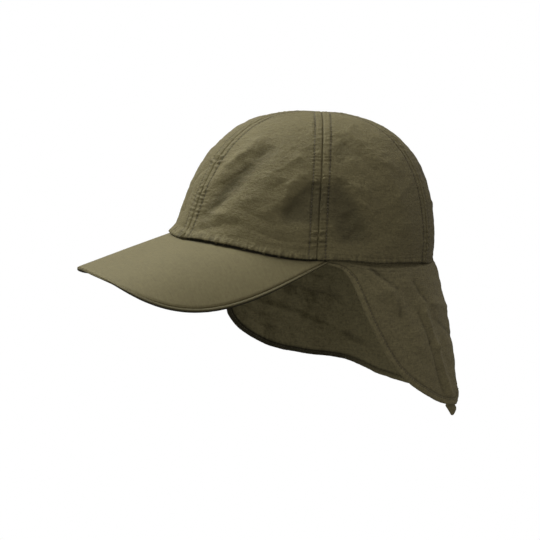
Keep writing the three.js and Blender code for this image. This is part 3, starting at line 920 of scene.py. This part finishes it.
def edge_profile(at):
    """The rolled lower edge, with a row of stitches behind the visor and a kick outwards above it."""
    behind = step_up(np.abs(at.azimuth), VISOR_HALF_ANGLE - 2, VISOR_HALF_ANGLE + 8)
    roll = 0.55 * at.near * bell(at.run - 2.6, 2.0) - 0.2 * bell(at.run - 7.0, 1.5)
    row = -0.3 * bell(at.run - 3.6, 0.8) * (0.6 + 0.8 * np.cos(at.around * 2 * math.pi / 4.1) ** 2)
    kick = mix(2.6, 0.9, at.near) * at.front**2 * bell(at.run, mix(4, 7, at.near), 1.5)
    return roll * (1 - 0.7 * behind) + row * behind + kick - 0.9 * at.near * at.front * bell(at.run, 0.9)


# How dark the painted shade is in the folds, gathers, puckers, seams, needle rows and the lower edge
FOLD_SHADE = 0.42
GATHER_SHADE = 0.45
PUCKER_SHADE = 0.35
GROOVE_SHADE = 0.5
NEEDLE_SHADE = 0.6
EDGE_SHADE = 0.95


# Painted shade on a panel: darker in fold valleys, gathers, puckers, the seam groove, the needle holes and the
# crease where the lower edge meets the visor
def panel_painted_shade(at, folds, gathers, puckers, from_seam):
    shaded = mix(0.3, 1, step_up(at.azimuth, -12, 4) * (1 - step_up(at.azimuth, 130, 160)))
    valley = FOLD_SHADE * shaded * step_up(-soften(folds, 9), 0.1, 2.2)
    valley = valley + GATHER_SHADE * step_up(-gathers, -0.15, 0.2) * at.at_edge
    valley = valley + PUCKER_SHADE * step_up(-puckers, 0.05, 0.5)
    patchy = 0.6 + 0.5 * noise(at.run / 6, 0.4, int(from_seam) % 360 + 5)
    groove = GROOVE_SHADE * patchy * bell(at.away, 0.5) * step_up(at.to_tip, 3, 12)
    holes = 0.4 + 0.6 * stitch_wave(at.run) ** 2
    needle = NEEDLE_SHADE * holes * bell(at.away - SEAM_ROW, 0.7) * step_up(at.to_tip, 8, 16)
    under = mix(0.5, mix(0.3, 1, at.near), at.over_visor)
    crease = EDGE_SHADE * bell(at.run, mix(0.8, 0.9, at.over_visor)) * under
    return valley + groove + needle + crease


def panel_faces(at, from_seam, to_seam):
    """The outer and inner face of a panel, and the shade painted on it."""
    puff, folds = crown_relief(at.azimuth, at.lift, at.across)
    puckers = seam_puckers(at, at.from_left, from_seam, 1) + seam_puckers(at, at.from_right, wrap(to_seam), -1)
    gathers = edge_gathers(at)
    relief = puff + seam_profile(at) + stitch_pits(at) + puckers
    relief = relief + panel_crinkle(at) + gathers * at.at_edge * step_up(at.run, -1, 1.5) + edge_profile(at)
    past_edge = (WALL_RADIUS - np.minimum(at.run, WALL_RADIUS)) / WALL_RADIUS
    round_under = WALL_RADIUS * (1 - np.sqrt(np.clip(1 - past_edge**2, 0, 1)))
    face = at.face
    face[..., 2] += edge_shift(at.azimuth) * np.exp(-at.run / 14)
    outer = face + at.normal * (relief - round_under)[..., None]
    inner = face + at.normal * (relief - 2 * WALL_RADIUS + round_under)[..., None]
    hem_lift = at.over_visor * bell(at.run, 1.5)
    outer[..., 2] += mix(-0.3, 0.8, at.near) * hem_lift
    inner[..., 2] -= 0.4 * hem_lift
    return outer, inner, panel_painted_shade(at, folds, gathers, puckers, from_seam)


def seam_row(outer, normal, distance, room):
    """The line of points that runs beside one seam, and the normals there."""
    points, normals = [], []
    for r in range(ROWS + 1):
        row = distance[r]
        if row.max() < 2 * room:
            break
        order = np.argsort(row)
        points.append(at_runs(SEAM_ROW, row[order], outer[r, order]))
        normals.append(at_runs(SEAM_ROW, row[order], normal[r, order]))
    return np.array(points), np.array(normals)


def both_faces(values):
    """Values of an outer face, then of an inner face that keeps fewer of its points."""
    return np.concatenate([values.ravel(), values[::INNER_EVERY, ::INNER_EVERY].ravel()])


PANELS = [
    ("crown_front_left", 0, SIDE_SEAM),
    ("crown_side_left", SIDE_SEAM, REAR_SEAM),
    ("crown_back_left", REAR_SEAM, 180),
    ("crown_back_right", -180, -REAR_SEAM),
    ("crown_side_right", -REAR_SEAM, -SIDE_SEAM),
    ("crown_front_right", -SIDE_SEAM, 0),
]

FIRST_STITCH = 2.0
crown_runs = []
for panel_name, from_seam, to_seam in PANELS:
    at = panel_places(from_seam, to_seam)
    outer, inner, painted_shade = panel_faces(at, from_seam, to_seam)
    shape = shell(outer, inner, stack(at.around, at.run), INNER_EVERY)
    add_piece(panel_name + "_cloth", shape, panel_cloth, [panel_name], both_faces(painted_shade))
    for distance in (at.from_left, at.from_right):
        path, normals = seam_row(outer, at.normal, distance, SEAM_ROW + 1)
        crown_runs.append(stitch_run(path, normals, FIRST_STITCH, lengths(path, 0)[-1]))
thread_piece("crown_stitches", crown_runs)


# Visor


def visor_grid(depth):
    share, t = np.meshgrid(np.linspace(-1, 1, VISOR_COLUMNS + 1), np.linspace(0, 1, VISOR_ROWS + 1))
    inside = 1 - (1 - t) ** 1.5
    near = step_up(share, 0.1, 0.45)
    point = visor_point(share, inside, mix(0.7, EDGE_STRIP - 0.35, near))
    run = lengths(point, 0)
    to_rim = run[-1:] - run
    soft = crinkle(point[..., 0], point[..., 1], [(48, 40, 0.16), (17, 13, 0.05)], 91)
    roll = -mix(0.75, 0.45, near) * bell(to_rim, 0.6)
    point[..., 2] += soft + roll - depth
    return point, point[..., :2]


LOW_ROLL = 1.6
visor_top, visor_uv = visor_grid(0)
visor_low, _ = visor_grid(VISOR_THICKNESS)
low_run = lengths(visor_low, 0)
visor_low[..., 2] += LOW_ROLL * bell(low_run[-1:] - low_run, 0.7)
# The shade of the crown's edge on the visor, with a small wedge near its end
root_run = lengths(visor_top, 0)
root_share = np.linspace(-1, 1, VISOR_COLUMNS + 1)
wedge = bell(root_share - 0.8, 0.16)
line = mix(0.2, 0.9, step_up(root_share, -0.1, 0.15))
visor_painted_shade = line * (1 - step_up(root_run, 2.7, 3.8))
visor_painted_shade = visor_painted_shade + 0.22 * wedge * (1 - step_up(root_run, 3.5, 5 + 8 * wedge))
# Rows run out from the crown and columns to the left, so the faces are turned over
points, faces, uv = shell(visor_top, visor_low, visor_uv, INNER_EVERY)
shape = points, faces[:, ::-1], uv
add_piece("visor_cover", shape, visor_cloth, ["visor"], both_faces(visor_painted_shade))

RIM_STEPS = 560
RIM_SIDES = 24
RIM_SQUARENESS = 2.7
# Height, lean and drop of the rim on the far side and on the near side
RIM_HEIGHT = (2.9, 2.6)
RIM_LEAN = (0.75, 0.2)
RIM_DROP = (0.3, 0.1)
RIM_UNDER_SHADE = 0.85
RIM_NEAR_SHADE = 0.36

rim_share = np.linspace(-1, 1, RIM_STEPS + 1)
rim_near = step_up(rim_share, 0.1, 0.45)
rim_full = 1 - 0.5 * step_up(np.abs(rim_share), 0.72, 1.0)
rim_high = mix(*RIM_HEIGHT, rim_near) * rim_full
rim_edge, rim_middle, rim_inside = [
    visor_point(rim_share, np.ones_like(rim_share), inset) for inset in (0.0, EDGE_STRIP / 2, EDGE_STRIP + 1)
]
rim_wide = unit(mix(outline_normal(rim_share), unit(rim_edge - rim_inside), 0.2))
rim_under = unit(np.cross(np.gradient(rim_edge, axis=0), rim_wide))
rim_under = rim_under * -np.sign(rim_under[:, 2:])
rim_thick = unit(rim_under - rim_wide * mix(*RIM_LEAN, rim_near)[:, None])
rim_centre = rim_middle + rim_thick * (rim_high / 2 + mix(*RIM_DROP, rim_near))[:, None]
rim_run = lengths(rim_centre, 0)
rim_ripple = 0.07 * noise(rim_run / 3.2, 0.3, 12) + 0.05 * noise(rim_run / 9, 0.8, 13)
rim_width = EDGE_STRIP * mix(0.7, 1, rim_full) + rim_ripple
shape = strip(rim_centre, rim_wide, rim_thick, rim_width, rim_high + rim_ripple, RIM_SIDES, RIM_SQUARENESS)
# Painted shade: the rim darker on its lower side, and a little darker all over on the near side
lower_side = step_up(np.sin(side_angles(RIM_SIDES)), -0.75, 0.1)
rim_painted_shade = RIM_UNDER_SHADE * lower_side[None, :] * mix(0.6, 1, rim_full)[:, None]
rim_painted_shade = np.maximum(rim_painted_shade, RIM_NEAR_SHADE * rim_near[:, None])
add_piece("visor_rim", shape, visor_cloth, ["visor_edge"], rim_painted_shade)


# Neck flap


def crease_ends(crease):
    """Both ends of a crease on the laid out cloth."""
    ends = crease["from"], crease["to"]
    return [(turn * RUN_PER_DEGREE, fall * flap_value("drop", turn)) for turn, fall in ends]


def flap_relief(turn, fall):
    """Creases and crinkles of the hanging cloth, which both of its faces share."""
    drop = flap_value("drop", turn)
    x = turn * RUN_PER_DEGREE
    y = fall * drop
    creases = 0
    for crease in FLAP_CREASES:
        lift = segment_lift(x, y, crease_ends(crease), crease["depth"], crease["width"], FLAP_CREASE_POWER)
        creases = creases + lift
    long_waves = crinkle(x + 0.35 * y, y - 0.2 * x, [(18, 44, 1.2), (9, 24, 0.5)], 131)
    short = crinkle(x - 0.5 * y, y + 0.3 * x, [(13, 7, 0.6), (6, 4, 0.32), (3.4, 2.6, 0.16)], 157)
    bulge = 1.9 * (1 - np.exp(-y / 1.1)) * np.exp(-y / 16) - 0.35 * bell(y - 3.4, 0.7)
    bulge = bulge * step_up(drop, 4, 30)
    gathers = 0.35 * noise(x / 2.6, y / 18, 163) * bell(y, 9)
    hem_pulls = 0.3 * noise(x / 2.4, y / 20, 167) * bell((1 - fall) * drop, 7)
    fold_gain = mix(1.15, 1.5, step_up(-turn, 30, 60))
    calm = 1 - 0.45 * step_up(turn, 14, 30) - 0.2 * step_up(turn, 44, 62)
    folds = fold_gain * (creases + short * calm) + long_waves * calm
    return folds * step_up(fall, 0.0, 0.16) * step_up(drop, 4, 40) + gathers + hem_pulls + bulge


def crease_lines(turn, fall):
    """Shade along the creases that are folded in."""
    x, y = turn * RUN_PER_DEGREE, fall * flap_value("drop", turn)
    patchy = mix(0.15, 1, step_up(turn, 0, 30)) * (0.8 + 0.5 * noise(turn / 3, fall * 20, 211))
    folded_in = [crease for crease in FLAP_CREASES if crease["depth"] < 0]
    return patchy * sum(segment_lift(x, y, crease_ends(c), 0.4, 0.4 * c["width"]) for c in folded_in)


def flap_grid(turn, fall):
    point = flap_point(turn, np.maximum(fall, 0))
    facing = outward(flap_azimuth(turn))
    point = point + facing * flap_relief(turn, np.clip(fall, 0, 1))[..., None]
    tucked = np.clip(-fall, 0, 1)
    point[..., 2] += FLAP_TUCK * tucked
    point = point - facing * (TUCK_LEAN * tucked)[..., None]
    return point, facing


# Rows of the flap: two in the tuck, the hanging part, and four that go on into the hem
UV_PER_DEGREE = 1.9
flap_falls = np.concatenate([[-1, -0.5], np.linspace(0, 1, FLAP_ROWS - 5), [1.0, 1.0, 1.0, 1.0]])
beyond = np.concatenate([np.zeros(FLAP_ROWS - 3), [0.25, 0.45, 0.6, 0.7]])
flap_turns = np.linspace(-FLAP_LIMIT, FLAP_LIMIT, FLAP_COLUMNS + 1)
turn_grid, fall_grid = np.meshgrid(flap_turns, flap_falls)
flap_face, flap_facing = flap_grid(turn_grid, fall_grid)
_, edge_out, edge_width = flap_edge(turn_grid)
flap_face = flap_face + edge_out * (beyond[:, None] * edge_width)[..., None]
flap_uv = stack(turn_grid * UV_PER_DEGREE, lengths(flap_face, 0))
shape = shell(flap_face, flap_face - flap_facing * FLAP_CLOTH, flap_uv)

# Shade in the flap's folds, along its top, along its hem and in its creases
VALLEY_SHADE = 0.4
TOP_SHADE = 0.22
HEM_LINE_SHADE = 0.6
hanging = np.clip(fall_grid, 0, 1)
flap_drop = flap_value("drop", turn_grid)
flap_lift = flap_relief(turn_grid, hanging)
edge_lines = TOP_SHADE * bell(hanging * flap_drop, 7) + HEM_LINE_SHADE * bell((1 - hanging) * flap_drop, 1.2)
near_side = mix(0.4, 1, step_up(turn_grid, -10, 30))
outer_painted_shade = VALLEY_SHADE * near_side * step_up(-flap_lift, 0.6, 3.2) + crease_lines(turn_grid, hanging)
inner_painted_shade = VALLEY_SHADE * step_up(flap_lift, 0.6, 3.2)
flap_painted_shade = np.stack([outer_painted_shade, inner_painted_shade]) + edge_lines
flap = add_piece("flap_cloth", shape, flap_cloth, ["neck_flap"], flap_painted_shade)

HEM_STEPS = 900
HEM_SIDES = 18
HEM_SQUARENESS = 3.0
HEM_THICK = 2.4
HEM_OVERLAP = 0.4
HEM_SPARE = 0.9
HEM_CURL = 18
FAR_HEM_SHADE = 0.85
HEM_SIDE_SHADE = 0.5
HEM_ROW = 0.75
LAST_STITCH_TURN = 108

hem_turns = np.linspace(-FLAP_LIMIT, FLAP_LIMIT, HEM_STEPS + 1)
hem_along, hem_out, hem_width = flap_edge(hem_turns)
hem_face, hem_facing = flap_grid(hem_turns, np.ones_like(hem_turns))
hem_thick = unit(hem_facing - hem_out * dot(hem_facing, hem_out))
hem_curl = np.radians(HEM_CURL * step_up(-hem_turns, 5, 45))[:, None]
hem_out = hem_out * np.cos(hem_curl) + hem_thick * np.sin(hem_curl)
hem_normal = np.cross(hem_along, hem_out)
hem_thick = unit(hem_normal) * np.sign(dot(hem_normal, hem_thick))
hem_reach = HEM_GAP + hem_width / 2 - HEM_OVERLAP
hem_centre = hem_face + hem_out * hem_reach[:, None] - hem_thick * FLAP_CLOTH / 2
hem_run = lengths(hem_centre, 0)
hem_ripple = 0.16 * noise(hem_run / 2.1, 0.4, 201) + 0.12 * noise(hem_run / 6, 0.8, 202)
hem_wide = hem_width + HEM_SPARE + 0.6 * hem_ripple
hem_high = HEM_THICK + 1.4 * hem_ripple
shape = strip(hem_centre, hem_out, hem_thick, hem_wide, hem_high, HEM_SIDES, HEM_SQUARENESS)
# Painted shade: the hem darker on the far side, where it curls under into shadow, and on its side that lies
# against the flap
far_hem_painted_shade = FAR_HEM_SHADE * step_up(-hem_turns, 8, 45)
hem_side_painted_shade = HEM_SIDE_SHADE * step_up(-np.cos(side_angles(HEM_SIDES)), 0.5, 0.9)
hem_painted_shade = np.maximum(far_hem_painted_shade[:, None], hem_side_painted_shade[None, :])
hem = add_piece("flap_hem_band", shape, flap_cloth, ["flap_hem"], hem_painted_shade)

# One row of stitches on each face of the hem
row_place = hem_centre - hem_out * (hem_width / 2 - HEM_ROW)[:, None]
row_height = hem_thick * (HEM_THICK / 2 + 0.6 * hem_ripple - 0.06)[:, None]
stitched = np.abs(hem_turns) < LAST_STITCH_TURN
hem_total = lengths((row_place + row_height)[stitched], 0)[-1]
hem_runs = [
    stitch_run((row_place + side * row_height)[stitched], side * hem_thick[stitched], 1, hem_total)
    for side in (1, -1)
]
hem_stitches = thread_piece("flap_stitches", hem_runs)


# Tab

TAB_TURN = 40
TAB_FACING_TURN = 70
TAB_LEAN = 45
TAB_WIDTH = 8.0
TAB_LENGTH = 14.2
TAB_START = -2.6
TAB_ROUND = 3.3
TAB_THICK = 2.6
TAB_STEPS = 60
TAB_SIDES = 24
TAB_SQUARENESS = 2.6


def tab_shape():
    """A narrow strip of cloth folded in two, seated in the hem and rounded at its end."""
    corner = flap_outline(TAB_TURN)
    facing = outward(flap_azimuth(TAB_FACING_TURN))
    lean = math.radians(TAB_LEAN)
    back = np.array([-facing[1], facing[0], 0.0])
    hang = np.array([0.0, 0.0, -math.cos(lean)]) + back * math.sin(lean)
    t = np.linspace(0, 1, TAB_STEPS + 1)
    end = np.clip((1 - t) * TAB_LENGTH / TAB_ROUND, 0, 1)
    round_end = np.sqrt(np.clip(1 - (1 - end) ** 2, 0, 1))
    bend = 0.6 * np.sin(t * 2.4)
    centre = corner + hang * TAB_START + hang * (t * TAB_LENGTH)[:, None] + facing * bend[:, None]
    wide = np.tile(np.cross(hang, facing), (TAB_STEPS + 1, 1))
    thick = np.tile(facing, (TAB_STEPS + 1, 1))
    width = TAB_WIDTH * np.maximum(round_end, 0.05)
    height = TAB_THICK * np.maximum(round_end, 0.25) + 0.4 * noise(t * TAB_LENGTH / 1.6, 0.2, 301)
    return strip(centre, wide, thick, width, height, TAB_SIDES, TAB_SQUARENESS)


tab = add_piece("flap_tab_cloth", tab_shape(), flap_cloth, ["flap_tab"])


# Floor, light and camera

CAMERA_AZIMUTH = 54.431
CAMERA_ELEVATION = 7.396
CAMERA_ROLL = -3.992
CAMERA_DISTANCE = 0.86497
FOCAL_PIXELS = 1149.5
ORIGIN_PIXEL = (308.13, 248.30)
PICTURE = 540
SENSOR = 36.0


def from_angles(turn, height):
    """Direction towards a place at an azimuth from the cap's front and a height, in degrees."""
    a, h = math.radians(turn), math.radians(height)
    return Vector((math.sin(a) * math.cos(h), -math.cos(a) * math.cos(h), math.sin(h)))


azimuth = math.radians(CAMERA_AZIMUTH)
roll = math.radians(CAMERA_ROLL)
back = from_angles(CAMERA_AZIMUTH, CAMERA_ELEVATION)
level_right = Vector((math.cos(azimuth), math.sin(azimuth), 0))
level_up = back.cross(level_right)
right = level_right * math.cos(roll) - level_up * math.sin(roll)
up = level_right * math.sin(roll) + level_up * math.cos(roll)

camera_data = bpy.data.cameras.new("camera")
camera_data.sensor_fit = "HORIZONTAL"
camera_data.sensor_width = SENSOR
camera_data.lens = FOCAL_PIXELS * SENSOR / PICTURE
camera_data.shift_x = -(ORIGIN_PIXEL[0] - PICTURE / 2) / PICTURE
camera_data.shift_y = (ORIGIN_PIXEL[1] - PICTURE / 2) / PICTURE
camera_data.clip_start = 0.01
camera_data.clip_end = 50
camera = add_object(camera_data)
place = Matrix((right, up, back)).transposed().to_4x4()
place.translation = back * CAMERA_DISTANCE
camera.matrix_world = place
bpy.context.scene.camera = camera


def area_light(name, direction, distance, size, power, colour):
    data = bpy.data.lights.new(name, "AREA")
    data.shape = "DISK"
    data.size = size
    data.energy = power
    data.color = colour
    light = add_object(data)
    light.location = direction * distance
    light.rotation_euler = direction.to_track_quat("Z", "Y").to_euler()


area_light("key", from_angles(-60, 54), distance=2.0, size=1.3, power=39, colour=(1.0, 1.0, 0.95))
area_light("top", from_angles(30, 78), distance=2.2, size=1.4, power=9, colour=(1.0, 0.99, 0.95))
area_light("low", from_angles(22, -14), distance=2.2, size=1.4, power=6, colour=(1.0, 1.0, 0.95))

# Sky that is paler above than below, as in a studio with a bright ceiling
SKY_LOW = 0.05
SKY_HIGH = 0.35
SKY_COLOUR = (1.0, 0.94, 0.91, 1)
SKY_RANGE = (-0.9, 0.35)
sky = Nodes(bpy.data.worlds.new("studio"))
direction = sky.add("ShaderNodeTexCoord").outputs["Generated"]
grade = {
    "Value": sky.add("ShaderNodeSeparateXYZ", {"Vector": direction}).outputs["Z"],
    "From Min": SKY_RANGE[0],
    "From Max": SKY_RANGE[1],
    "To Min": SKY_LOW,
    "To Max": SKY_HIGH,
}
strength = sky.add("ShaderNodeMapRange", grade, interpolation_type="SMOOTHSTEP").outputs["Result"]
background = sky.add("ShaderNodeBackground", {"Color": SKY_COLOUR, "Strength": strength})
bpy.context.scene.world = sky.finish(background, "ShaderNodeOutputWorld")

FLOOR_HEIGHT = -1.4
FLOOR_REACH = 4.0
FLOOR_BEND = 1.5
BEND_STEPS = 12
BACKDROP_TOP = 9.0
CEILING = 10.0
FLOOR_SIDES = 48


def studio_floor():
    """A wide pale floor that turns up into a backdrop all round the cap, seen only by the camera."""
    profile = [(0.01, 0.0), (FLOOR_REACH, 0.0)]
    for k in range(1, BEND_STEPS + 1):
        angle = math.radians(90 * k / BEND_STEPS)
        profile.append((FLOOR_REACH + FLOOR_BEND * math.sin(angle), FLOOR_BEND * (1 - math.cos(angle))))
    profile += [(FLOOR_REACH + FLOOR_BEND, BACKDROP_TOP), (0.01, CEILING)]
    angles = [2 * math.pi * k / FLOOR_SIDES for k in range(FLOOR_SIDES)]
    points = [(r * math.cos(a), r * math.sin(a), FLOOR_HEIGHT + high) for r, high in profile for a in angles]
    faces = []
    for ring in range(len(profile) - 1):
        for k in range(FLOOR_SIDES):
            a, b = ring * FLOOR_SIDES + k, ring * FLOOR_SIDES + (k + 1) % FLOOR_SIDES
            faces.append((a, b, b + FLOOR_SIDES, a + FLOOR_SIDES))
    mesh = bpy.data.meshes.new("floor")
    mesh.from_pydata(points, [], faces)
    floor = add_object(mesh)
    n = Nodes(bpy.data.materials.new("pale_floor"))
    mesh.materials.append(n.finish(n.add("ShaderNodeEmission", {"Color": (1, 1, 1, 1), "Strength": 1.0})))
    floor.visible_diffuse = False
    floor.visible_glossy = False
    floor.visible_shadow = False


studio_floor()
bpy.context.scene.view_settings.view_transform = "Standard"
